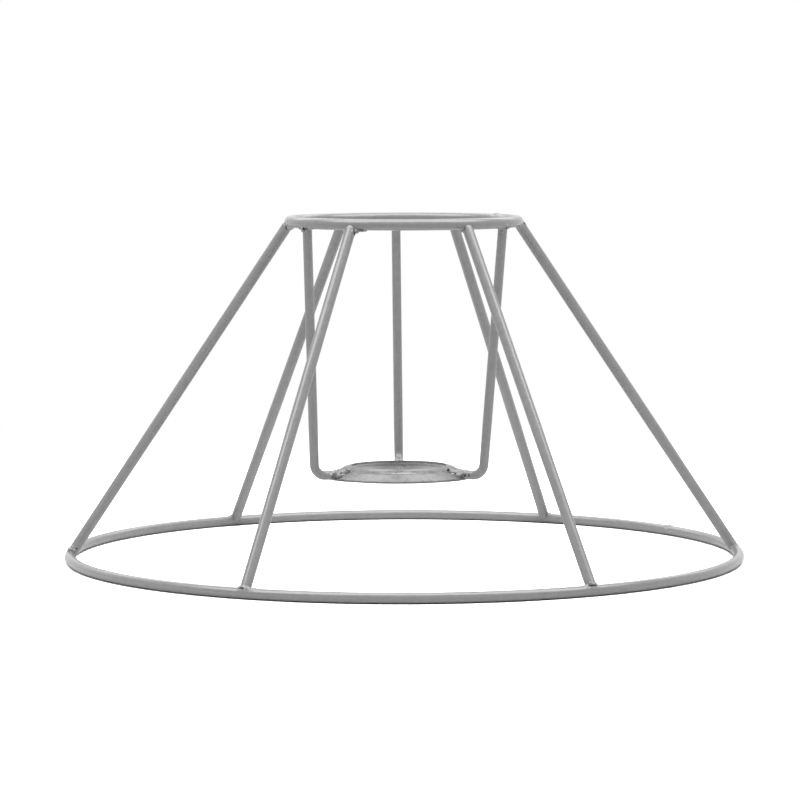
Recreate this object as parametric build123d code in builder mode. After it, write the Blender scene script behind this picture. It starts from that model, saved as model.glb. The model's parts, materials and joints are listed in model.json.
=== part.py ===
from build123d import *
from math import cos, radians, sin
import os

# Conical wire lampshade frame, without its cover. Millimetres, +Z up. The origin is on the floor,
# under the middle of the bottom ring, and +X points at the first strut.

# Overall size, to the outside of the wire
overall_height = 101.0
top_outer_diameter = 70.0
bottom_outer_diameter = 200.0

# Wire diameters, with the paint on
top_wire = 3.25
bottom_wire = 3.1
strut_wire = 3.1
arm_wire = 2.7

# Welded joints
weld_bite = 0.8  # how deep the end of one wire is pressed into another
dome_setback = 1.8  # from the top ring's centreline to where a strut's rounded head begins
closing_bearing = 30  # where the ends of each ring's wire meet, between two struts

# Lamp-holder ring, pressed from sheet, with a raised crown round its hole
hole_diameter = 28.0
flange_diameter = 45.4
sheet = 1.0
crown_height = 2.0  # the crown's top over the flange's top
crown_land = 1.3  # width of the crown's top, from the hole to its shoulder
slope_width = 2.3  # from the crown's shoulder out to the flange
press_radius = 0.4  # on the inside of each bend
edge_radius = 0.25  # on the upper sheared edges, with the paint on
holder_height = 24.4  # underside of the flange over the floor

# Arms that carry the lamp-holder ring
first_arm_bearing = 90
foot_reach = 5.6  # from the flange's edge out to the corner of the bend
arm_bend_radius = 3.7  # to the wire's centreline
foot_lap = 0.5  # how far a foot runs in over the flange's edge

# The frame was set up by hand for welding. These are the turns from even spacing, in degrees,
# that its pieces were welded with, one for each strut or arm, and the lamp-holder ring's shift.
strut_head_drift = (0.6, 1.2, -0.4, 0.9, 0.6, -1.1)
strut_foot_drift = (0.2, -0.4, 0.1, 0.8, 0.6, -1.9)
arm_head_drift = (0.9, 0.2, -4.1)
holder_turn = -3.1
holder_shift = (-1.6, 0.1)

# Worked out from the sizes above
up = Vector(0, 0, 1)
top_ring_radius = (top_outer_diameter - top_wire) / 2
top_ring_height = overall_height - top_wire / 2
bottom_ring_radius = (bottom_outer_diameter - bottom_wire) / 2
bottom_ring_height = bottom_wire / 2
holder_centre = Vector(*holder_shift)
hole_radius = hole_diameter / 2
shoulder_radius = hole_radius + crown_land
slope_foot_radius = shoulder_radius + slope_width
flange_radius = flange_diameter / 2
flange_top = holder_height + sheet
foot_height = holder_height + arm_wire / 2
knee_radius = flange_radius + foot_reach
toe_radius = flange_radius - foot_lap


def on_circle(radius, bearing, height, centre=Vector(0, 0)):
    """Point on a level circle, its bearing in degrees from +X towards +Y."""
    spoke = Vector(radius * cos(radians(bearing)), radius * sin(radians(bearing)))
    return centre + spoke + height * up


def section_plane(bearing, centre=Vector(0, 0)):
    """Upright plane through a ring's axis, with x outward at a bearing and y up."""
    outward = on_circle(1, bearing, 0)
    return Plane(origin=centre, x_dir=outward, z_dir=outward.cross(up))


def wire_ring(radius, height, wire):
    """Round wire bent to a level ring, its ends welded flush."""
    with BuildPart() as ring:
        with BuildSketch(section_plane(closing_bearing)):
            with Locations((radius, height)):
                Circle(wire / 2)
        revolve(axis=Axis.Z)
    return ring


def finish(piece, name):
    """Name a finished piece and write it."""
    piece.part.label = name
    export_step(piece.part, f"parts/{name}.step")


os.makedirs("parts", exist_ok=True)

# Rings of the frame
top_ring = wire_ring(top_ring_radius, top_ring_height, top_wire)
finish(top_ring, "top_ring")
bottom_ring = wire_ring(bottom_ring_radius, bottom_ring_height, bottom_wire)
finish(bottom_ring, "bottom_ring")

# Lamp-holder ring: the sheet's upper surface from the hole to the rim, given its thickness and turned
with BuildPart() as holder_ring:
    with BuildSketch(section_plane(0, holder_centre)):
        with BuildLine():
            FilletPolyline(
                (hole_radius, flange_top + crown_height),
                (shoulder_radius, flange_top + crown_height),
                (slope_foot_radius, flange_top),
                (flange_radius, flange_top),
                radius=(press_radius + sheet, press_radius),
            )
            offset(amount=sheet, side=Side.RIGHT)
        make_face()
    revolve(axis=Axis(holder_centre, up))
    rims = holder_ring.edges().filter_by(GeomType.CIRCLE).group_by(SortBy.RADIUS)
    fillet([rims[0].sort_by(Axis.Z)[-1], rims[-1].sort_by(Axis.Z)[-1]], radius=edge_radius)
finish(holder_ring, "holder_ring")

# Struts: straight wires with a rounded head that laps the top ring and a foot pressed on the bottom ring
strut_step = 360 / len(strut_head_drift)
for number, (head_drift, foot_drift) in enumerate(zip(strut_head_drift, strut_foot_drift)):
    head = on_circle(top_ring_radius, number * strut_step + head_drift, top_ring_height)
    foot = on_circle(bottom_ring_radius, number * strut_step + foot_drift, bottom_ring_height)
    down = (foot - head).normalized()
    across = down.cross(up).normalized()
    foot_end = (foot - head).length - (bottom_wire / 2 - weld_bite)
    with BuildPart() as strut:
        with BuildSketch(Plane(origin=head, x_dir=across, z_dir=across.cross(down))):
            with BuildLine():
                dome = CenterArc((0, dome_setback), strut_wire / 2, -90, 90)
                Polyline(dome @ 1, (strut_wire / 2, foot_end), (0, foot_end), dome @ 0)
            make_face()
        revolve(axis=Axis(head, down))
        add(top_ring.part, mode=Mode.SUBTRACT)
        add(bottom_ring.part, mode=Mode.SUBTRACT)
    finish(strut, f"strut_{number + 1}")

# Arms: each hangs from the top ring and turns inward to the flange of the lamp-holder ring
arm_step = 360 / len(arm_head_drift)
for number, head_drift in enumerate(arm_head_drift):
    bearing = first_arm_bearing + number * arm_step
    head = on_circle(top_ring_radius, bearing + head_drift, top_ring_height)
    knee = on_circle(knee_radius, bearing + holder_turn, foot_height, holder_centre)
    toe = on_circle(toe_radius, bearing + holder_turn, foot_height, holder_centre)
    down = (knee - head).normalized()
    top_end = head + down * (top_wire / 2 - weld_bite)
    with BuildPart() as arm:
        with BuildLine() as route:
            FilletPolyline(top_end, knee, toe, radius=arm_bend_radius)
        with BuildSketch(Plane(origin=top_end, z_dir=down)):
            Circle(arm_wire / 2)
        sweep(path=route.wire())
        add(top_ring.part, mode=Mode.SUBTRACT)
        add(holder_ring.part, mode=Mode.SUBTRACT)
    finish(arm, f"arm_{number + 1}")
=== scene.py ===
import json
from collections import namedtuple
from functools import cached_property
from math import atan2, cos, pi, radians, sin

import bpy
from bpy.props import FloatProperty, FloatVectorProperty, IntProperty, PointerProperty
from mathutils import Matrix, Vector

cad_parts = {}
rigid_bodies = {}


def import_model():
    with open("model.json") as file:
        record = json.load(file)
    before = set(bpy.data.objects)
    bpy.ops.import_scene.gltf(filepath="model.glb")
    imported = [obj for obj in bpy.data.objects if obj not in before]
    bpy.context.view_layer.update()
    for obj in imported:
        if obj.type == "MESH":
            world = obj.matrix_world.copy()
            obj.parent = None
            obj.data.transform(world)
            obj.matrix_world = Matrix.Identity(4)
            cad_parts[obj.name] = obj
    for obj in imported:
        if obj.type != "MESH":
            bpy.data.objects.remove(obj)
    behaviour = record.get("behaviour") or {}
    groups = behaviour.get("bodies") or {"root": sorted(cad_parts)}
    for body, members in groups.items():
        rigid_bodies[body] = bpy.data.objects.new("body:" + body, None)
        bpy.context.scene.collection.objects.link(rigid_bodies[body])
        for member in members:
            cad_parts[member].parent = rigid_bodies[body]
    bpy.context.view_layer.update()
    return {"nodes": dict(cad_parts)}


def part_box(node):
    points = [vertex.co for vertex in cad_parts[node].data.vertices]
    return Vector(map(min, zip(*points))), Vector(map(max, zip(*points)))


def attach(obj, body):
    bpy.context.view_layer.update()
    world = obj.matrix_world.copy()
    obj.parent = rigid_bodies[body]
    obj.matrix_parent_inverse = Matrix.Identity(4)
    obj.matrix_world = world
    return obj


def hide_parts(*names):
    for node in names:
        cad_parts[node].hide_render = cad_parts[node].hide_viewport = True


bl_info = {
    "name": "Wire Lampshade Frame",
    "version": (1, 0, 0),
    "blender": (4, 5, 0),
    "location": "View3D > Sidebar > Lampshade",
    "description": "Welds, paints and stages a wire lampshade frame",
    "category": "Object",
}

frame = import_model()

RINGS = ("top_ring", "bottom_ring")
STRUTS = tuple(sorted(name for name in frame["nodes"] if name.startswith("strut_")))
ARMS = tuple(sorted(name for name in frame["nodes"] if name.startswith("arm_")))
HOLDER = "holder_ring"
IMAGE_PIXELS = 800  # width of the photograph
FLOOR_SIZE = 8.0  # in metres
MM = 0.001
UP = Vector((0, 0, 1))

# Where the wires' ends and the places on them are found, in metres unless it says otherwise
END_REACH = 4 * MM  # length of a wire's end, over which its bearing is measured
ARM_SHANK = (28 * MM, 60 * MM)  # heights between which an arm is surely straight
TOE_REACH = 2 * MM  # height over an arm's toe, below which its bearing is measured
TOE_LAP = 0.5 * MM  # how far an arm's toe runs in over the rim of the holder ring
TOE_END = 2.3  # how far outside the joint the core of a toe's weld ends, in millimetres
BURR_DROP = 2.55 * MM  # from the top ring's centreline to the burr round an arm's sheared end
BURR = 0.2 * MM  # radius of the burr's section
FLOOR_CLEARANCE = 0.03 * MM  # between a weld and the floor that the frame stands on
CLOSING_BEARING = radians(30)  # where each ring's wire is closed
HIGH_END = 90 * MM  # height over which a wire's upper end is measured for the run of its lines
BURN_SPOT = (0.0, -3.2, 0.15)  # middle of the burnt sheet at an arm's toe, measured as for a weld
SPATTER_SPOT = (0.0, -3.7, 0.25)  # middle of the spatter round it

# What a weld adds at a joint. Pools are where the metal ran and wet the wires, beads stand out of
# them, and pits are the hollows that were left, painted nearly black as soot and as painted shade
# where the crevices round the joint fall in shadow: each is a place and a radius in millimetres,
# the place measured along the ring, outward and up from the joint. Run is the stretch of the ring,
# along it, that spilled metal covers beyond the joint.
Weld = namedtuple("Weld", "pools beads pits run", defaults=((), None))

PLAIN_HEAD = Weld(
    pools=((1.5, 0.7, -1.7, 1.3), (-1.5, 0.7, -1.7, 1.3), (0.0, -0.3, -1.9, 1.3)),
    beads=((1.55, 0.7, -1.75, 0.55), (-1.55, 0.7, -1.75, 0.5), (0.1, -0.3, -1.9, 0.5)),
)
HEAD_WELDS = {
    "strut_1": Weld(
        pools=(
            (-1.2, 0.7, -1.2, 1.6),
            (1.4, 0.7, -1.6, 1.2),
            (-4.5, 1.2, -0.9, 1.0),
            (-6.6, 1.2, -0.9, 1.2),
        ),
        beads=(
            (-0.9, 1.25, -0.75, 0.5),
            (-1.2, 0.7, -1.2, 0.5),
            (-1.4, 0.0, -1.45, 0.5),
            (-2.4, 0.9, -1.1, 0.45),
            (-3.5, 1.1, -0.95, 0.4),
            (-4.8, 1.1, -0.85, 0.42),
            (-6.0, 1.1, -0.9, 0.36),
            (-7.3, 1.1, -0.9, 0.38),
            (1.4, 0.7, -1.7, 0.5),
        ),
        pits=((-0.5, 1.75, -1.05, 0.45), (-4.2, 1.35, -0.2, 0.35)),
        run=(-8.5, -3.5),
    ),
    "strut_4": Weld(
        pools=((1.2, 0.2, -1.6, 1.5), (-1.4, 0.7, -1.6, 1.2), (4.2, 0.8, -1.2, 1.2), (7.0, 0.8, -1.2, 1.4)),
        beads=(
            (1.2, 0.3, -1.75, 0.65),
            (1.6, -0.2, -1.75, 0.5),
            (2.3, -0.3, -1.5, 0.4),
            (3.0, 0.5, -1.35, 0.4),
            (4.0, 0.7, -1.25, 0.42),
            (5.1, 0.6, -1.3, 0.36),
            (6.2, 0.7, -1.25, 0.42),
            (7.3, 0.6, -1.3, 0.38),
            (8.5, 0.7, -1.25, 0.42),
            (-1.4, 0.7, -1.7, 0.5),
        ),
        pits=(
            (1.5, 1.25, -0.95, 0.22),
            (1.55, 1.25, -1.5, 0.24),
            (1.6, 1.2, -2.1, 0.22),
            (3.5, 1.0, -1.3, 0.25),
            (5.7, 1.0, -1.3, 0.25),
            (6.2, 1.45, 0.1, 0.4),
        ),
        run=(3.5, 9.5),
    ),
    "strut_5": Weld(
        pools=((2.0, 0.7, -1.5, 1.2), (3.4, 0.8, -1.1, 1.1), (-1.2, -0.2, -1.8, 1.0)),
        beads=(
            (1.7, 0.75, -1.75, 0.6),
            (2.2, 0.3, -1.55, 0.45),
            (2.9, 0.2, -1.5, 0.4),
            (3.6, 0.2, -1.55, 0.38),
            (4.2, 0.2, -1.5, 0.34),
            (-1.2, -0.2, -1.8, 0.5),
        ),
        pits=(
            (1.6, 1.8, -2.4, 0.45),
            (2.7, 1.0, -1.5, 0.34),
            (3.3, 1.0, -1.5, 0.36),
            (3.9, 1.0, -1.45, 0.32),
        ),
    ),
    "strut_6": Weld(
        pools=((-1.1, 1.2, -1.1, 0.9), (-1.5, 0.0, -1.7, 1.1), (1.4, -0.2, -1.8, 1.0)),
        beads=((-1.5, 0.0, -1.75, 0.5), (1.4, -0.1, -1.8, 0.5)),
        pits=((-1.6, 1.4, -1.5, 0.22), (-1.4, 1.6, -1.0, 0.22), (-1.2, 1.7, -0.5, 0.2)),
    ),
}

PLAIN_ARM_HEAD = Weld(
    pools=((1.2, 0.2, -1.6, 1.2), (-1.2, 0.2, -1.6, 1.2)),
    beads=((1.3, 0.2, -1.6, 0.5), (-1.3, 0.2, -1.6, 0.5), (0.0, 1.1, -1.5, 0.45)),
)
ARM_HEAD_WELDS = {
    "arm_2": Weld(
        pools=((1.8, 0.8, -1.2, 1.8), (0.2, 1.4, -1.8, 0.9), (-1.2, 0.2, -1.6, 1.2)),
        beads=(
            (1.2, 0.9, -1.0, 0.6),
            (2.2, 0.7, -1.1, 0.55),
            (3.0, 0.6, -1.1, 0.45),
            (0.2, 1.6, -1.6, 0.42),
            (0.2, 1.5, -2.1, 0.32),
            (-1.4, 0.5, -1.5, 0.5),
            (-2.6, 0.8, -1.3, 0.4),
        ),
        pits=(
            (0.6, 1.5, -1.5, 0.36),
            (1.2, 1.3, -1.75, 0.42),
            (1.6, 0.8, -1.85, 0.42),
            (1.8, 0.3, -1.95, 0.36),
        ),
    ),
    "arm_3": Weld(
        pools=((-1.6, 0.9, -1.2, 1.8), (1.2, 0.2, -1.6, 1.2)),
        beads=(
            (-2.3, 0.8, -1.0, 0.5),
            (-1.4, 0.95, -1.05, 0.55),
            (-0.4, 1.15, -0.95, 0.5),
            (0.9, 1.1, -1.2, 0.45),
            (2.0, 1.1, -1.0, 0.4),
            (1.3, 0.1, -1.6, 0.5),
        ),
        pits=(
            (-1.7, 0.5, -1.95, 0.36),
            (-1.3, 1.0, -1.9, 0.42),
            (-0.3, 1.6, -1.6, 0.4),
            (0.2, 1.7, -1.5, 0.36),
        ),
    ),
}

PLAIN_FOOT = Weld(
    pools=((1.5, 0.0, 1.3, 1.2), (-1.5, 0.0, 1.3, 1.2), (0.0, -1.9, 0.5, 1.2)),
    beads=((1.55, 0.1, 1.3, 0.5), (-1.55, 0.1, 1.3, 0.5), (0.0, -1.75, 0.6, 0.5)),
)
FOOT_WELDS = {
    "strut_1": Weld(
        pools=((-1.3, -0.5, 0.6, 2.2), (1.5, 0.0, 1.3, 1.2)),
        beads=(
            (-1.1, -0.75, 1.8, 0.55),
            (-1.1, -0.9, 0.7, 0.7),
            (-1.2, 0.2, 1.0, 0.6),
            (-1.2, -0.3, 0.1, 0.6),
            (1.5, 0.1, 1.3, 0.5),
        ),
        pits=(
            (-1.4, 0.3, 1.2, 0.3),
            (-1.5, -1.2, 0.4, 0.28),
            (-1.5, -0.1, -0.5, 0.25),
            (-1.4, 0.8, -0.6, 0.28),
            (-1.0, -1.3, -0.9, 0.4),
        ),
    ),
    "strut_4": Weld(
        pools=((1.1, -0.6, 1.9, 1.7), (-1.5, 0.0, 1.3, 1.2)),
        beads=(
            (0.8, 0.0, 2.1, 0.45),
            (1.15, -0.6, 2.0, 0.45),
            (1.3, -1.3, 1.65, 0.45),
            (-1.5, 0.1, 1.3, 0.5),
        ),
        pits=(
            (0.3, 0.35, 2.25, 0.28),
            (1.5, -1.9, 2.3, 0.28),
            (1.3, -0.5, 1.3, 0.22),
            (1.5, -1.3, 0.7, 0.22),
        ),
    ),
    "strut_5": Weld(
        pools=((1.6, 0.6, 1.1, 1.5), (-0.4, 0.9, 1.3, 1.2), (2.9, 0.1, 1.1, 0.9)),
        beads=(
            (1.2, 0.6, 1.2, 0.6),
            (1.8, 0.7, 0.95, 0.5),
            (2.5, 0.3, 1.1, 0.5),
            (3.1, 0.0, 1.2, 0.45),
            (-1.5, -0.3, 1.3, 0.45),
        ),
        pits=((-1.1, 0.75, 1.45, 0.36), (-0.5, 0.95, 1.5, 0.38), (0.1, 0.95, 1.5, 0.36)),
    ),
    "strut_6": Weld(
        pools=((-1.6, 0.5, 1.5, 1.5), (0.2, 0.8, 1.5, 1.1)),
        beads=((-2.2, 0.2, 1.25, 0.55), (-1.2, 0.55, 2.15, 0.42), (1.5, -0.3, 1.3, 0.45)),
        pits=((-1.0, 0.85, 1.55, 0.38), (-0.4, 0.95, 1.6, 0.4), (0.3, 0.9, 1.55, 0.38)),
    ),
}

PLAIN_TOE = Weld(
    pools=((0.0, -1.5, 0.4, 2.6), (0.0, -3.4, 0.6, 2.0)),
    beads=(
        (0.0, -0.4, -0.05, 1.3),
        (0.1, -1.6, 0.0, 1.15),
        (0.0, -2.8, 0.15, 1.0),
        (-0.1, -4.0, 0.45, 0.8),
        (0.0, -5.1, 0.95, 0.55),
        (1.6, -0.8, -0.3, 0.8),
        (1.8, -2.4, -0.35, 0.7),
        (-1.6, -1.2, -0.3, 0.8),
        (-1.7, -3.0, -0.25, 0.7),
    ),
)
TOE_WELDS = {
    "arm_1": Weld(
        pools=PLAIN_TOE.pools + ((0.0, 3.4, 1.3, 1.2),),
        beads=PLAIN_TOE.beads + ((0.1, 3.6, 1.35, 0.45),),
    ),
    "arm_2": Weld(
        pools=PLAIN_TOE.pools + ((1.2, 0.8, -0.4, 1.0),),
        beads=PLAIN_TOE.beads + ((1.2, 1.4, 0.0, 0.35),),
        pits=((1.3, 0.9, -0.5, 0.45), (0.5, -1.5, 1.2, 0.3), (1.5, -2.2, 0.6, 0.3), (0.3, -4.4, 1.2, 0.3)),
    ),
    "arm_3": Weld(
        pools=PLAIN_TOE.pools + ((-1.2, 1.6, 0.0, 1.6),),
        beads=PLAIN_TOE.beads + ((-1.9, -1.1, -0.1, 0.32), (-1.2, 0.4, 0.5, 0.35)),
        pits=(
            (-0.7, -5.2, 1.3, 0.35),
            (-1.3, -2.8, 0.5, 0.42),
            (-1.8, -1.8, -0.1, 0.36),
            (-1.35, 0.9, 0.0, 0.36),
            (-1.35, 2.6, 0.1, 0.36),
        ),
    ),
}

RING_CLOSING = Weld(
    pools=((0.0, 0.0, 0.7, 2.1),),
    beads=((0.1, 1.3, 0.3, 0.5), (0.0, 0.2, 1.2, 0.55), (-0.1, -1.2, 0.2, 0.5), (0.1, 1.0, -0.6, 0.5)),
    pits=((0.3, 1.3, -0.6, 0.3),),
)

# Upper surface of the pressed ring, from the hole to the rim: radius, and height over its underside.
PRESSED_PROFILE = (
    (14.0, 3.0),
    (14.5, 2.96),
    (15.2, 2.82),
    (16.0, 2.58),
    (16.6, 2.3),
    (17.1, 1.92),
    (17.5, 1.7),
    (18.2, 1.5),
    (19.6, 1.12),
    (21.2, 0.64),
    (22.7, 0.15),
)


class Ring:
    """A level wire ring of the frame, measured from its piece."""

    def __init__(self, name):
        low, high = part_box(name)
        self.centre = (low + high) / 2
        self.wire_radius = (high.z - low.z) / 2
        self.radius = (high.x - low.x) / 2 - self.wire_radius


class Joint:
    """A welded joint at a bearing on a ring."""

    def __init__(self, centre, radius, bearing):
        self.centre = centre
        self.radius = radius
        self.bearing = bearing
        self.place = self.at(0, 0, 0)

    def at(self, along, outward, up):
        """Place near the joint, in millimetres along the ring's curve, outward and up."""
        bearing = self.bearing + along * MM / self.radius
        spoke = Vector((cos(bearing), sin(bearing), 0))
        return self.centre + (self.radius + outward * MM) * spoke + up * MM * UP


def middle(node, low=0.0, high=1.0):
    """Middle of the part of a wire between two heights."""
    spots = [vertex.co for vertex in frame["nodes"][node].data.vertices if low <= vertex.co.z <= high]
    return sum(spots, Vector()) / len(spots)


def bearing_of(place, centre=Vector()):
    """Bearing of a place about the frame's axis or another centre, from +X towards +Y."""
    return atan2(place.y - centre.y, place.x - centre.x)


def head_joint(node):
    """Joint of a strut or an arm on the top ring."""
    ring = Ring("top_ring")
    end = middle(node, low=ring.centre.z - END_REACH)
    return Joint(ring.centre, ring.radius, bearing_of(end))


def foot_joint(node):
    """Joint of a strut on the bottom ring."""
    ring = Ring("bottom_ring")
    end = middle(node, high=END_REACH)
    return Joint(ring.centre, ring.radius, bearing_of(end))


def toe_joint(node, wire):
    """Joint of an arm, of a wire diameter, on the holder ring."""
    low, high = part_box(HOLDER)
    centre = Vector(((low.x + high.x) / 2, (low.y + high.y) / 2, low.z + wire / 2))
    end = middle(node, high=centre.z + TOE_REACH)
    return Joint(centre, (high.x - low.x) / 2 - TOE_LAP, bearing_of(end, centre))


def rod(start, end, radius):
    """Add a round rod between two points."""
    run = end - start
    turn = run.to_track_quat("Z", "Y").to_euler()
    bpy.ops.mesh.primitive_cylinder_add(
        vertices=48, radius=radius, depth=run.length, location=(start + end) / 2, rotation=turn
    )
    return bpy.context.object


def ball(place, radius):
    """Add a round bead."""
    bpy.ops.mesh.primitive_ico_sphere_add(subdivisions=3, radius=radius, location=place)
    return bpy.context.object


def apply(piece, kind, **settings):
    """Put a modifier on a piece and apply it."""
    modifier = piece.modifiers.new(kind.lower(), kind)
    for name, setting in settings.items():
        setattr(modifier, name, setting)
    bpy.ops.object.modifier_apply(modifier=modifier.name)


def mark(piece, name, spots, hardness):
    """Weigh the vertices near some spots, from 0 at a spot's edge to 1 near its middle."""
    group = piece.vertex_groups.new(name=name)
    weights = []
    for vertex in piece.data.vertices:
        depth = max((1 - (vertex.co - place).length / radius for place, radius in spots), default=0)
        weights.append(min(max(hardness * depth, 0), 1))
        group.add([vertex.index], weights[-1], "REPLACE")
    return weights


def ripple(piece, size, height, level, group=""):
    """Move a piece's skin in soft lumps of a size and a height, out of and into it by a level."""
    lumps = bpy.data.textures.new("lumps", "CLOUDS")
    lumps.noise_scale = size
    lumps.noise_depth = 1
    settings = {"texture": lumps, "texture_coords": "LOCAL", "vertex_group": group}
    apply(piece, "DISPLACE", strength=height, mid_level=level, **settings)


def rest_on_floor(piece):
    """Flatten a piece where it would go under the floor."""
    bpy.ops.object.mode_set(mode="EDIT")
    bpy.ops.mesh.select_mode(type="VERT")
    bpy.ops.mesh.select_all(action="DESELECT")
    bpy.ops.object.mode_set(mode="OBJECT")
    for vertex in piece.data.vertices:
        vertex.select = vertex.co.z < FLOOR_CLEARANCE
    bpy.ops.object.mode_set(mode="EDIT")
    bpy.ops.transform.resize(value=(1, 1, 0), center_override=(0, 0, FLOOR_CLEARANCE))
    bpy.ops.object.mode_set(mode="OBJECT")


def run_weld(name, joint, weld, cores, settings):
    """Run a weld over its joint: one skin over the cores and the beads, molten in its pools."""
    beads = [(joint.at(*place), radius * MM) for *place, radius in weld.beads]
    parts = cores + [ball(place, radius) for place, radius in beads]
    bpy.ops.object.select_all(action="DESELECT")
    for part in parts:
        part.select_set(True)
    bpy.context.view_layer.objects.active = parts[0]
    bpy.ops.object.join()
    bpy.ops.object.transform_apply(location=True, rotation=True, scale=True)
    piece = bpy.context.object
    piece.name = name
    apply(piece, "REMESH", mode="VOXEL", voxel_size=settings.grain)
    pits = []
    for *place, radius in weld.pits:
        _, on_skin, _, _ = piece.closest_point_on_mesh(joint.at(*place))
        pits.append((on_skin, 1.2 * radius * MM))
    # Beads and pits lie in pools of their own, so that the skin covers the wire round them.
    pools = [(joint.at(*place), radius * MM) for *place, radius in weld.pools]
    pools += [(place, 2.0 * radius + 0.2 * MM) for place, radius in beads]
    pools += [(place, 2.5 * radius) for place, radius in pits]
    mark(piece, "pool", pools, hardness=2.0)
    # The pits' weights are kept as a mark of soot and shade: soot, and painted shade that darkens the
    # crevices round the joint.
    soot_and_shade = piece.data.attributes.new("soot_and_shade", "FLOAT", "POINT")
    soot_and_shade.data.foreach_set("value", mark(piece, "pit", pits, hardness=3.0))
    ripple(piece, settings.ripple_size, settings.ripple_height, level=0.0, group="pool")
    apply(piece, "SMOOTH", vertex_group="pool", factor=0.5, iterations=settings.flow)
    apply(piece, "DISPLACE", vertex_group="pit", strength=-settings.pit_depth, mid_level=0.0)
    apply(piece, "SMOOTH", factor=0.5, iterations=2)
    if joint.centre.z < END_REACH:
        rest_on_floor(piece)
    piece.vertex_groups.clear()
    bpy.ops.object.shade_smooth()
    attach(piece, "root")


def ring_core(joint, ring, settings):
    """Rods just under the skin of a ring, either side of a joint."""
    radius = ring.wire_radius - settings.undercut
    reach = settings.reach / MM
    return [rod(joint.at(side * reach, 0, 0), joint.place, radius) for side in (-1, 1)]


class Value:
    """A shader value. Sums written with it add the nodes that work them out."""

    def __init__(self, finish, output):
        self.finish = finish
        self.output = output

    def math(self, operation, first, second):
        """Add a maths node."""
        return self.finish.node("ShaderNodeMath", {"operation": operation}, {0: first, 1: second})

    def __add__(self, other):
        return self.math("ADD", self, other)

    def __radd__(self, other):
        return self.math("ADD", other, self)

    def __sub__(self, other):
        return self.math("SUBTRACT", self, other)

    def __rsub__(self, other):
        return self.math("SUBTRACT", other, self)

    def __mul__(self, other):
        return self.math("MULTIPLY", self, other)

    def __rmul__(self, other):
        return self.math("MULTIPLY", other, self)


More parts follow.
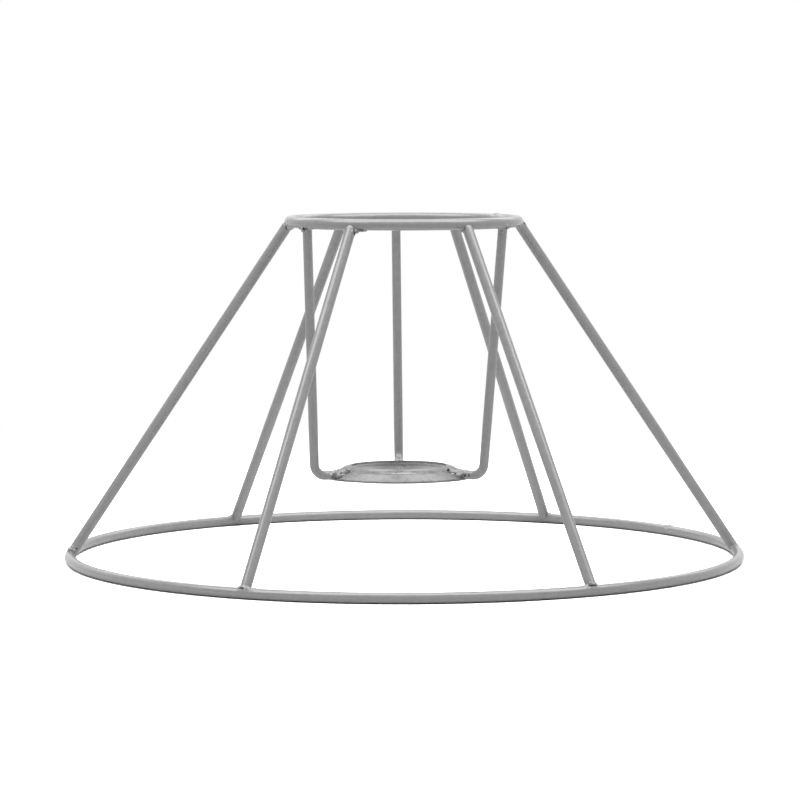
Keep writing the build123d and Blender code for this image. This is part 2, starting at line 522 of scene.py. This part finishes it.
class Finish:
    """A new material or world being written, round the shader that it comes with."""

    def __init__(self, owner):
        owner.use_nodes = True
        self.owner = owner
        self.nodes = owner.node_tree.nodes
        self.links = owner.node_tree.links
        self.shader = next(node for node in self.nodes if node.type in ("BSDF_PRINCIPLED", "BACKGROUND"))

    @cached_property
    def place(self):
        """Place on the object."""
        return self.node("ShaderNodeTexCoord", output="Object")

    def node(self, kind, settings=None, inputs=None, output=0):
        """Add a node: its settings first, then the values or links of its sockets."""
        made = self.nodes.new(kind)
        for name, setting in (settings or {}).items():
            setattr(made, name, setting)
        for name, value in (inputs or {}).items():
            self.feed(made.inputs[name], value)
        return Value(self, made.outputs[output])

    def other(self, value, output):
        """Another output of the node that a value comes from."""
        return Value(self, value.output.node.outputs[output])

    def feed(self, socket, value):
        """Give a socket a link, a number or a colour."""
        if isinstance(value, Value):
            self.links.new(value.output, socket)
        else:
            socket.default_value = value

    def dot(self, direction):
        """How far a point lies along a direction."""
        inputs = {0: self.place, 1: direction}
        return self.node("ShaderNodeVectorMath", {"operation": "DOT_PRODUCT"}, inputs, output="Value")

    def place_from(self, spot):
        """Place, measured from a spot."""
        return self.node("ShaderNodeVectorMath", {"operation": "SUBTRACT"}, {0: self.place, 1: spot})

    def length(self, vector):
        """Length of a vector, such as a place measured from a spot."""
        return self.node("ShaderNodeVectorMath", {"operation": "LENGTH"}, {0: vector}, output="Value")

    def noise(self, size, detail=2.0, roughness=0.5, place=None):
        """Noise from 0 to 1 whose blotches are about a size across, in metres."""
        inputs = {"Vector": place or self.place, "Scale": 1 / size}
        return self.node("ShaderNodeTexNoise", inputs={**inputs, "Detail": detail, "Roughness": roughness})

    def range(self, value, low, high, out_low=0.0, out_high=1.0):
        """Value from low to high, turned smoothly into out_low to out_high."""
        settings = {"interpolation_type": "SMOOTHSTEP"}
        inputs = {"Value": value, "From Min": low, "From Max": high, "To Min": out_low, "To Max": out_high}
        return self.node("ShaderNodeMapRange", settings, inputs)

    def specks(self, spacing, radius, share):
        """Mask of small round specks: one in some of the cells that are a spacing across."""
        settings = {"feature": "F1"}
        inputs = {"Vector": self.place, "Scale": 1 / spacing, "Randomness": 1.0}
        near = self.node("ShaderNodeTexVoronoi", settings, inputs, output="Distance")
        chance = self.node("ShaderNodeSeparateColor", inputs={"Color": self.other(near, "Color")})
        rim = radius / spacing
        return self.range(near, rim, 0.4 * rim) * self.range(chance, share, 0.98 * share)

    def run_of(self, wire):
        """Place on a straight wire, squeezed lengthwise so that noise on it runs out in lines."""
        axis = wire.normalized()
        side = axis.cross(UP).normalized()
        parts = {"X": self.dot(side), "Y": self.dot(axis.cross(side)), "Z": 0.02 * self.dot(axis)}
        return self.node("ShaderNodeCombineXYZ", inputs=parts)

    def run_of_ring(self):
        """Place on a level ring, squeezed lengthwise so that noise on it runs out in lines."""
        inputs = {0: self.place, 1: (1, 1, 0)}
        flat = self.node("ShaderNodeVectorMath", {"operation": "MULTIPLY"}, inputs)
        parts = {"X": self.length(flat), "Y": self.dot((0, 0, 1)), "Z": 0.02 * self.dot((1, 1, 0))}
        return self.node("ShaderNodeCombineXYZ", inputs=parts)

    def tint(self, factor, low, high):
        """Colour between two colours."""
        settings = {"data_type": "RGBA", "clamp_factor": True}
        return self.node("ShaderNodeMix", settings, {0: factor, 6: low, 7: high}, output=2)

    def bump(self, height, distance):
        """Normal of a surface raised by a height times a distance, in metres."""
        return self.node("ShaderNodeBump", inputs={"Height": height, "Distance": distance})

    def rays(self):
        """Rays from the camera, rays off a glossy surface, and rays through a clear one."""
        camera = self.node("ShaderNodeLightPath", output="Is Camera Ray")
        return camera, self.other(camera, "Is Glossy Ray"), self.other(camera, "Is Transmission Ray")

    def coat(self, **inputs):
        """Set or link the sockets of the shader, named with underscores."""
        for name, value in inputs.items():
            self.feed(self.shader.inputs[name.replace("_", " ")], value)
        return self.owner


def new_paint(name):
    """Start a material."""
    return Finish(bpy.data.materials.new(name))


def grey(level):
    """A neutral colour."""
    return (level, level, level, 1.0)


def dress(piece, material):
    """Give a piece one material."""
    piece.data.materials.clear()
    piece.data.materials.append(material)


class WeldSettings(bpy.types.PropertyGroup):
    """How the welds flowed and set."""

    strut_wire: FloatProperty(
        name="Strut wire", description="Diameter of the struts", default=0.0031, unit="LENGTH"
    )
    arm_wire: FloatProperty(
        name="Arm wire", description="Diameter of the arms", default=0.0027, unit="LENGTH"
    )
    dome_setback: FloatProperty(
        name="Dome setback",
        description="From a ring to a strut's rounded end",
        default=0.0018,
        unit="LENGTH",
    )
    reach: FloatProperty(
        name="Reach", description="How far a weld's core runs along the ring", default=0.004, unit="LENGTH"
    )
    strut_reach: FloatProperty(
        name="Strut reach", description="How far it runs down a strut's head", default=0.004, unit="LENGTH"
    )
    wire_reach: FloatProperty(
        name="Wire reach", description="How far it runs along the other wires", default=0.005, unit="LENGTH"
    )
    grain: FloatProperty(
        name="Grain", description="Fineness of the welds' skin", default=0.00013, unit="LENGTH"
    )
    undercut: FloatProperty(
        name="Undercut",
        description="Depth of the welds' cores under the paint",
        default=0.00006,
        unit="LENGTH",
    )
    ripple_size: FloatProperty(
        name="Ripple size", description="Width of the ripples", default=0.0007, unit="LENGTH"
    )
    ripple_height: FloatProperty(
        name="Ripple height", description="Height of the ripples", default=0.0004, unit="LENGTH"
    )
    pit_depth: FloatProperty(
        name="Pit depth", description="Depth of the sooty pits", default=0.00006, unit="LENGTH"
    )
    flow: IntProperty(name="Flow", description="How far the metal flowed together", default=4)


class PressingSettings(bpy.types.PropertyGroup):
    """Ring pressed from sheet."""

    sheet: FloatProperty(name="Sheet", description="Thickness of the sheet", default=0.0007, unit="LENGTH")
    edge: FloatProperty(
        name="Edge", description="Rounding of the sheared edges", default=0.00014, unit="LENGTH"
    )
    steps: IntProperty(
        name="Steps", description="Faces round the ring, before they are smoothed", default=96
    )
    lift: FloatProperty(
        name="Lift", description="How far it sits over its nominal height", default=0.0002, unit="LENGTH"
    )
    lean: FloatProperty(
        name="Lean", description="Its lean towards the back", default=radians(0.4), subtype="ANGLE"
    )
    warp: FloatProperty(
        name="Warp", description="How uneven the press left it", default=0.00012, unit="LENGTH"
    )
    burn: FloatProperty(
        name="Burn", description="How rough the welding left it", default=0.00022, unit="LENGTH"
    )
    burn_reach: FloatProperty(
        name="Burn reach",
        description="How far round a toe the sheet is rough",
        default=0.0065,
        unit="LENGTH",
    )


class FinishSettings(bpy.types.PropertyGroup):
    """Paint on the wires and on the pressed ring."""

    paint_grey: FloatProperty(name="Paint", description="Lightness of the paint on the wires", default=0.3)
    pressing_grey: FloatProperty(
        name="Pressing", description="Lightness of the paint on the pressed ring", default=0.21
    )
    pressing_metal: FloatProperty(
        name="Pressing metal", description="How metallic its paint looks", default=0.8
    )
    pressing_roughness: FloatProperty(
        name="Pressing roughness", description="Roughness of its paint", default=0.3
    )
    gloss: FloatProperty(name="Gloss", description="Strength of the paint's reflections", default=1.0)
    # Height of the painted shade along the edge that stands on the floor, which stands in for the contact
    # shadow there.
    roughness: FloatProperty(name="Roughness", description="Roughness of the paint", default=0.21)
    contact_shade_height: FloatProperty(
        name="Scuff height",
        description="Height of the rubbed edge it stands on",
        default=0.0003,
        unit="LENGTH",
    )
    spatter_reach: FloatProperty(
        name="Spatter reach",
        description="How far the welds spattered the sheet",
        default=0.0105,
        unit="LENGTH",
    )
    spatter_core: FloatProperty(
        name="Spatter core", description="How far the spatter is thick", default=0.004, unit="LENGTH"
    )


class StageSettings(bpy.types.PropertyGroup):
    """Camera and lights, set from the photograph."""

    focal_pixels: FloatProperty(
        name="Focal length", description="Focal length in pixels of the image", default=3539.7
    )
    distance: FloatProperty(
        name="Distance", description="Level distance from the frame's axis", default=1.0390, unit="LENGTH"
    )
    camera_height: FloatProperty(
        name="Height", description="Height of the camera over the floor", default=0.1320, unit="LENGTH"
    )
    camera_side: FloatProperty(
        name="Side", description="Shift of the camera to its right", default=-0.00122, unit="LENGTH"
    )
    pitch: FloatProperty(
        name="Pitch", description="Angle that the camera looks down", default=radians(4.69), subtype="ANGLE"
    )
    roll: FloatProperty(
        name="Roll",
        description="Turn of the camera about its view",
        default=radians(-0.11),
        subtype="ANGLE",
    )
    turn: FloatProperty(
        name="Turn",
        description="Bearing of the camera about the frame",
        default=radians(-3.14),
        subtype="ANGLE",
    )
    reach: FloatProperty(
        name="Reach", description="From the frame to each softbox", default=1.0, unit="LENGTH"
    )
    top_size: FloatVectorProperty(
        name="Top size",
        description="Softbox overhead, across and deep",
        size=2,
        default=(2.0, 0.85),
        unit="LENGTH",
    )
    top_power: FloatProperty(
        name="Top", description="Power of the softbox overhead", default=17.5, unit="POWER"
    )
    top_lean: FloatProperty(
        name="Top lean", description="From overhead towards the back", default=radians(-5), subtype="ANGLE"
    )
    back_size: FloatVectorProperty(
        name="Back size",
        description="Softbox behind, across and deep",
        size=2,
        default=(1.5, 0.35),
        unit="LENGTH",
    )
    back_power: FloatProperty(
        name="Back", description="Power of the softbox behind", default=2.2, unit="POWER"
    )
    back_lean: FloatProperty(
        name="Back lean",
        description="From overhead to the softbox behind",
        default=radians(50),
        subtype="ANGLE",
    )
    room: FloatProperty(name="Room", description="Brightness of the room round the frame", default=0.03)
    floor_grey: FloatProperty(name="Floor", description="Lightness of the floor", default=0.92)
    floor_exposure: FloatProperty(
        name="Floor exposure", description="How white the floor shows", default=1.1
    )
    floor_reach: FloatProperty(
        name="Floor reach",
        description="Where the floor turns to the white of the room",
        default=0.2,
        unit="LENGTH",
    )
    white_reach: FloatProperty(
        name="White reach", description="Where it is all white", default=0.45, unit="LENGTH"
    )


class LAMPSHADE_OT_strut_heads(bpy.types.Operator):
    """Weld the heads of the struts on the top ring"""

    bl_idname = "lampshade.strut_heads"
    bl_label = "Weld strut heads"

    def execute(self, context):
        settings = context.scene.lampshade_weld
        ring = Ring("top_ring")
        core = settings.strut_wire / 2 - settings.undercut
        for node in STRUTS:
            weld = HEAD_WELDS.get(node, PLAIN_HEAD)
            joint = head_joint(node)
            down = (foot_joint(node).place - joint.place).normalized()
            dome = joint.place + settings.dome_setback * down
            cores = ring_core(joint, ring, settings)
            cores += [ball(dome, core), rod(dome, dome + settings.strut_reach * down, core)]
            if weld.run:
                start, end = (joint.at(along, 0, 0) for along in weld.run)
                cores.append(rod(start, end, ring.wire_radius - settings.undercut))
            run_weld(node + "_head_weld", joint, weld, cores, settings)
        return {"FINISHED"}


class LAMPSHADE_OT_strut_feet(bpy.types.Operator):
    """Weld the feet of the struts on the bottom ring"""

    bl_idname = "lampshade.strut_feet"
    bl_label = "Weld strut feet"

    def execute(self, context):
        settings = context.scene.lampshade_weld
        ring = Ring("bottom_ring")
        core = settings.strut_wire / 2 - settings.undercut
        for node in STRUTS:
            joint = foot_joint(node)
            up = (head_joint(node).place - joint.place).normalized()
            cores = ring_core(joint, ring, settings)
            cores.append(rod(joint.place, joint.place + settings.wire_reach * up, core))
            run_weld(node + "_foot_weld", joint, FOOT_WELDS.get(node, PLAIN_FOOT), cores, settings)
        return {"FINISHED"}


class LAMPSHADE_OT_arm_heads(bpy.types.Operator):
    """Weld the heads of the arms under the top ring"""

    bl_idname = "lampshade.arm_heads"
    bl_label = "Weld arm heads"

    def execute(self, context):
        settings = context.scene.lampshade_weld
        ring = Ring("top_ring")
        core = settings.arm_wire / 2 - settings.undercut
        for node in ARMS:
            joint = head_joint(node)
            down = (middle(node, *ARM_SHANK) - joint.place).normalized()
            cores = ring_core(joint, ring, settings)
            cores.append(rod(joint.place, joint.place + settings.wire_reach * down, core))
            cores.append(self.burr(joint.place + BURR_DROP * down, down, settings))
            run_weld(node + "_head_weld", joint, ARM_HEAD_WELDS.get(node, PLAIN_ARM_HEAD), cores, settings)
        return {"FINISHED"}

    def burr(self, place, axis, settings):
        """Burr round an arm's sheared end, just under the ring."""
        bpy.ops.mesh.primitive_torus_add(
            major_segments=48,
            minor_segments=12,
            major_radius=(settings.arm_wire - BURR) / 2,
            minor_radius=BURR,
            location=place,
            rotation=axis.to_track_quat("Z", "Y").to_euler(),
        )
        return bpy.context.object


class LAMPSHADE_OT_pressed_ring(bpy.types.Operator):
    """Press the ring that sits on the lamp holder, with its rounded crown and its dished flange"""

    bl_idname = "lampshade.pressed_ring"
    bl_label = "Press the holder ring"

    def execute(self, context):
        settings = context.scene.lampshade_pressing
        low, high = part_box(HOLDER)
        centre = Vector(((low.x + high.x) / 2, (low.y + high.y) / 2, low.z + settings.lift))
        (radius, height), *others = PRESSED_PROFILE
        bpy.ops.object.select_all(action="DESELECT")
        bpy.ops.mesh.primitive_circle_add(
            vertices=settings.steps, radius=radius * MM, location=centre + height * MM * UP
        )
        bpy.ops.object.mode_set(mode="EDIT")
        for wider, lower in others:
            bpy.ops.mesh.extrude_edges_move()
            bpy.ops.transform.resize(value=(wider / radius, wider / radius, 1), center_override=centre)
            bpy.ops.transform.translate(value=(0, 0, (lower - height) * MM))
            radius, height = wider, lower
        bpy.ops.mesh.select_all(action="SELECT")
        bpy.ops.transform.rotate(value=settings.lean, orient_axis="X", center_override=centre)
        bpy.ops.mesh.normals_make_consistent(inside=False)
        bpy.ops.object.mode_set(mode="OBJECT")
        bpy.ops.object.transform_apply(location=True)
        piece = bpy.context.object
        piece.name = "pressed_ring"
        if sum(face.normal.z for face in piece.data.polygons) < 0:
            bpy.ops.object.mode_set(mode="EDIT")
            bpy.ops.mesh.flip_normals()
            bpy.ops.object.mode_set(mode="OBJECT")
        apply(piece, "SOLIDIFY", thickness=settings.sheet, offset=-1.0, use_even_offset=True)
        apply(piece, "BEVEL", width=settings.edge, segments=3, angle_limit=radians(60))
        apply(piece, "SUBSURF", levels=2, render_levels=2)
        self.roughen(piece, context.scene.lampshade_weld.arm_wire, settings)
        bpy.ops.object.shade_smooth()
        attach(piece, "root")
        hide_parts(HOLDER)
        return {"FINISHED"}

    def roughen(self, piece, wire, settings):
        """Warp the sheet a little, and roughen it round the toes of the arms."""
        burns = [(toe_joint(node, wire).at(*BURN_SPOT), settings.burn_reach) for node in ARMS]
        mark(piece, "burnt", burns, hardness=1.6)
        ripple(piece, 9 * MM, settings.warp, level=0.5)
        ripple(piece, 0.7 * MM, settings.burn, level=0.5, group="burnt")
        piece.vertex_groups.clear()


class LAMPSHADE_OT_arm_toes(bpy.types.Operator):
    """Weld the toes of the arms on the pressed ring"""

    bl_idname = "lampshade.arm_toes"
    bl_label = "Weld arm toes"

    def execute(self, context):
        settings = context.scene.lampshade_weld
        core = settings.arm_wire / 2 - settings.undercut
        for node in ARMS:
            joint = toe_joint(node, settings.arm_wire)
            cores = [rod(joint.place, joint.at(0, TOE_END, 0), core)]
            run_weld(node + "_toe_weld", joint, TOE_WELDS[node], cores, settings)
        return {"FINISHED"}


class LAMPSHADE_OT_ring_closings(bpy.types.Operator):
    """Weld the ends of each ring's wire together"""

    bl_idname = "lampshade.ring_closings"
    bl_label = "Close the rings"

    def execute(self, context):
        settings = context.scene.lampshade_weld
        for name in RINGS:
            ring = Ring(name)
            joint = Joint(ring.centre, ring.radius, CLOSING_BEARING)
            run_weld(name + "_closing", joint, RING_CLOSING, ring_core(joint, ring, settings), settings)
        return {"FINISHED"}


class LAMPSHADE_OT_finish(bpy.types.Operator):
    """Paint the wires, the welds and the pressed ring"""

    bl_idname = "lampshade.finish"
    bl_label = "Finish"

    def execute(self, context):
        settings = context.scene.lampshade_finish
        nodes = frame["nodes"]
        for name in RINGS:
            paint = new_paint(name + "_coat")
            dress(nodes[name], self.wire_paint(paint, paint.run_of_ring(), settings))
        for name in STRUTS + ARMS:
            paint = new_paint(name + "_coat")
            dress(nodes[name], self.wire_paint(paint, paint.run_of(self.lie(name)), settings))
        weld = self.weld_paint(new_paint("weld_coat"), settings)
        for piece in bpy.data.objects:
            if piece.name.endswith(("_weld", "_closing")):
                dress(piece, weld)
        toes = [toe_joint(node, context.scene.lampshade_weld.arm_wire) for node in ARMS]
        pressing = self.pressing_paint(new_paint("pressing_coat"), toes, settings)
        dress(bpy.data.objects["pressed_ring"], pressing)
        return {"FINISHED"}

    def lie(self, name):
        """Direction that a wire runs in, upwards."""
        low_end = END_REACH if name in STRUTS else ARM_SHANK[1]
        return middle(name, low=HIGH_END) - middle(name, high=low_end)

    def wire_paint(self, paint, run, settings):
        """Satin paint over drawn wire, with faint lines along it, blotches, a few pinholes, and painted
        shade along the edge it stands on.
        """
        lines = paint.noise(0.00045, detail=1.5, roughness=0.6, place=run)
        blotches = paint.noise(0.0016, detail=3.0)
        grain = paint.noise(0.0005, detail=2.0)
        pinholes = paint.specks(spacing=0.006, radius=0.0002, share=0.05)
        light = settings.paint_grey
        tone = paint.range(0.45 * lines + 0.35 * blotches + 0.2 * grain, 0.3, 0.7)
        colour = paint.tint(tone, grey(0.88 * light), grey(1.12 * light))
        colour = paint.tint(0.8 * pinholes, colour, grey(0.2 * light))
        # Painted shade: the paint turns dark within a fraction of a millimetre of the floor, standing in
        # for the contact shadow under the wire.
        edge = paint.dot((0, 0, 1)) + 0.0002 * (blotches - 0.5)
        contact_shade = paint.range(edge, settings.contact_shade_height, 0.3 * settings.contact_shade_height)
        colour = paint.tint(0.7 * contact_shade, colour, grey(0.15 * light))
        rough = settings.roughness + 0.14 * (blotches - 0.5) + 0.1 * (grain - 0.5)
        relief = 0.5 * lines + 0.35 * blotches + 0.15 * grain - 0.4 * pinholes
        return paint.coat(
            Base_Color=colour,
            Roughness=rough,
            Normal=paint.bump(relief, 0.00006),
            Specular_IOR_Level=settings.gloss,
        )

    def weld_paint(self, paint, settings):
        """The same paint over weld metal, with soot and painted shade in its pits and crevices."""
        soot_and_shade = paint.node("ShaderNodeAttribute", {"attribute_name": "soot_and_shade"}, output="Fac")
        blotches = paint.noise(0.001, detail=3.0)
        grain = paint.noise(0.0004, detail=2.0)
        light = settings.paint_grey
        tone = paint.range(0.6 * blotches + 0.4 * grain, 0.3, 0.7)
        colour = paint.tint(tone, grey(0.9 * light), grey(1.25 * light))
        # Painted shade and soot: the paint turns nearly black in the pits and crevices round the joint.
        colour = paint.tint(paint.range(soot_and_shade, 0.1, 0.6), colour, grey(0.03 * light))
        rough = settings.roughness + 0.2 * (blotches - 0.5) + 0.6 * soot_and_shade
        return paint.coat(
            Base_Color=colour,
            Roughness=rough,
            Normal=paint.bump(0.6 * blotches + 0.4 * grain, 0.0001),
            Specular_IOR_Level=settings.gloss,
        )

    def pressing_paint(self, paint, toes, settings):
        """Thin metallic paint over coarse sheet: mottled all over, and spattered round the toes."""
        spots = [paint.length(paint.place_from(toe.at(*SPATTER_SPOT))) for toe in toes]
        near = [paint.range(spot, settings.spatter_reach, settings.spatter_core) for spot in spots]
        spatter = sum(near[1:], near[0])
        blotches = paint.noise(0.002, detail=3.0)
        grain = paint.noise(0.0006, detail=3.0)
        coarse = paint.noise(0.00055, detail=1.0, roughness=0.4)
        pits = paint.specks(spacing=0.0022, radius=0.00028, share=0.12)
        burnt = spatter * paint.range(coarse, 0.46, 0.6)
        light = settings.pressing_grey
        tone = paint.range(0.6 * blotches + 0.4 * grain, 0.3, 0.7)
        colour = paint.tint(tone, grey(0.75 * light), grey(1.25 * light))
        colour = paint.tint(0.6 * burnt, colour, grey(0.3 * light))
        colour = paint.tint(0.85 * pits, colour, grey(0.15 * light))
        rough = settings.pressing_roughness + 0.2 * (blotches - 0.5) + 0.12 * (grain - 0.5) + 0.1 * spatter
        relief = 0.4 * blotches + 0.35 * grain - 0.6 * pits + 0.8 * spatter * coarse
        return paint.coat(
            Base_Color=colour,
            Roughness=rough,
            Metallic=settings.pressing_metal,
            Normal=paint.bump(relief, 0.0001),
        )


class LAMPSHADE_OT_stage(bpy.types.Operator):
    """Set the floor, the lights and the camera"""

    bl_idname = "lampshade.stage"
    bl_label = "Stage"

    def execute(self, context):
        settings = context.scene.lampshade_stage
        self.add_floor(settings)
        for name, size, power, lean in (
            ("top_softbox", settings.top_size, settings.top_power, settings.top_lean),
            ("back_softbox", settings.back_size, settings.back_power, settings.back_lean),
        ):
            self.add_softbox(context, name, size, power, settings.reach, lean)
        self.add_room(context, settings)
        self.add_camera(context, settings)
        context.scene.view_settings.view_transform = "Standard"
        return {"FINISHED"}

    def add_floor(self, settings):
        """Pale floor that shows as white, with the frame's soft shadow on it."""
        bpy.ops.object.select_all(action="DESELECT")
        bpy.ops.mesh.primitive_plane_add(size=FLOOR_SIZE)
        floor = bpy.context.object
        floor.name = "floor"
        cover = new_paint("floor_white")
        camera, glossy, clear = cover.rays()
        lit = cover.node("ShaderNodeBsdfDiffuse", inputs={"Color": grey(settings.floor_grey)})
        half = cover.node("ShaderNodeBsdfDiffuse", inputs={"Color": grey(settings.floor_exposure)})
        exposed = cover.node("ShaderNodeAddShader", inputs={0: half, 1: half})
        near = cover.node("ShaderNodeMixShader", inputs={0: camera, 1: lit, 2: exposed})
        white = cover.node("ShaderNodeEmission", inputs={"Strength": 1.0})
        far = cover.range(cover.length(cover.place), settings.floor_reach, settings.white_reach)
        share = (camera + glossy + clear) * far
        seen = cover.node("ShaderNodeMixShader", inputs={0: share, 1: near, 2: white})
        cover.feed(cover.nodes["Material Output"].inputs["Surface"], seen)
        cover.nodes.remove(cover.shader)
        floor.data.materials.append(cover.owner)

    def add_softbox(self, context, name, size, power, reach, lean):
        """A softbox that faces the frame, leaning from overhead towards the back."""
        lamp = bpy.data.lights.new(name, "AREA")
        lamp.shape = "RECTANGLE"
        lamp.size, lamp.size_y = size
        lamp.energy = power
        softbox = bpy.data.objects.new(name, lamp)
        turn = Matrix.Rotation(-lean, 4, "X")
        softbox.matrix_world = turn @ Matrix.Translation((0, 0, reach))
        softbox.visible_camera = False
        context.scene.collection.objects.link(softbox)

    def add_room(self, context, settings):
        """A dim room that shows as white, to the camera and in the paint."""
        room = Finish(bpy.data.worlds.new("room"))
        camera, glossy, clear = room.rays()
        strength = room.range(camera + glossy + clear, 0.0, 1.0, settings.room, 1.0)
        context.scene.world = room.coat(Color=grey(1.0), Strength=strength)

    def add_camera(self, context, settings):
        """Camera at the photograph's place."""
        lens = bpy.data.cameras.new("camera")
        lens.lens = settings.focal_pixels / IMAGE_PIXELS * lens.sensor_width
        camera = bpy.data.objects.new("camera", lens)
        context.scene.collection.objects.link(camera)
        place = Matrix.Translation((settings.camera_side, -settings.distance, settings.camera_height))
        aim = Matrix.Rotation(pi / 2 - settings.pitch, 4, "X") @ Matrix.Rotation(settings.roll, 4, "Z")
        camera.matrix_world = Matrix.Rotation(settings.turn, 4, "Z") @ place @ aim
        context.scene.camera = camera


class LAMPSHADE_PT_panel(bpy.types.Panel):
    """Sizes, finishes and steps of the lampshade frame"""

    bl_label = "Lampshade frame"
    bl_space_type = "VIEW_3D"
    bl_region_type = "UI"
    bl_category = "Lampshade"

    def draw(self, context):
        for name, group in GROUPS.items():
            box = self.layout.box()
            box.label(text=group.__doc__)
            for setting in group.__annotations__:
                box.prop(getattr(context.scene, name), setting)
        for operator in STEPS:
            self.layout.operator(operator.bl_idname)


GROUPS = {
    "lampshade_pressing": PressingSettings,
    "lampshade_weld": WeldSettings,
    "lampshade_finish": FinishSettings,
    "lampshade_stage": StageSettings,
}
STEPS = (
    LAMPSHADE_OT_stage,
    LAMPSHADE_OT_strut_heads,
    LAMPSHADE_OT_strut_feet,
    LAMPSHADE_OT_arm_heads,
    LAMPSHADE_OT_pressed_ring,
    LAMPSHADE_OT_arm_toes,
    LAMPSHADE_OT_ring_closings,
    LAMPSHADE_OT_finish,
)


def register():
    for name, group in GROUPS.items():
        bpy.utils.register_class(group)
        setattr(bpy.types.Scene, name, PointerProperty(type=group))
    for operator in STEPS:
        bpy.utils.register_class(operator)
    bpy.utils.register_class(LAMPSHADE_PT_panel)


def unregister():
    bpy.utils.unregister_class(LAMPSHADE_PT_panel)
    for operator in reversed(STEPS):
        bpy.utils.unregister_class(operator)
    for name, group in reversed(GROUPS.items()):
        delattr(bpy.types.Scene, name)
        bpy.utils.unregister_class(group)


def main():
    register()
    bpy.ops.lampshade.stage()
    bpy.ops.lampshade.strut_heads()
    bpy.ops.lampshade.strut_feet()
    bpy.ops.lampshade.arm_heads()
    bpy.ops.lampshade.pressed_ring()
    bpy.ops.lampshade.arm_toes()
    bpy.ops.lampshade.ring_closings()
    bpy.ops.lampshade.finish()


if __name__ == "__main__":
    main()
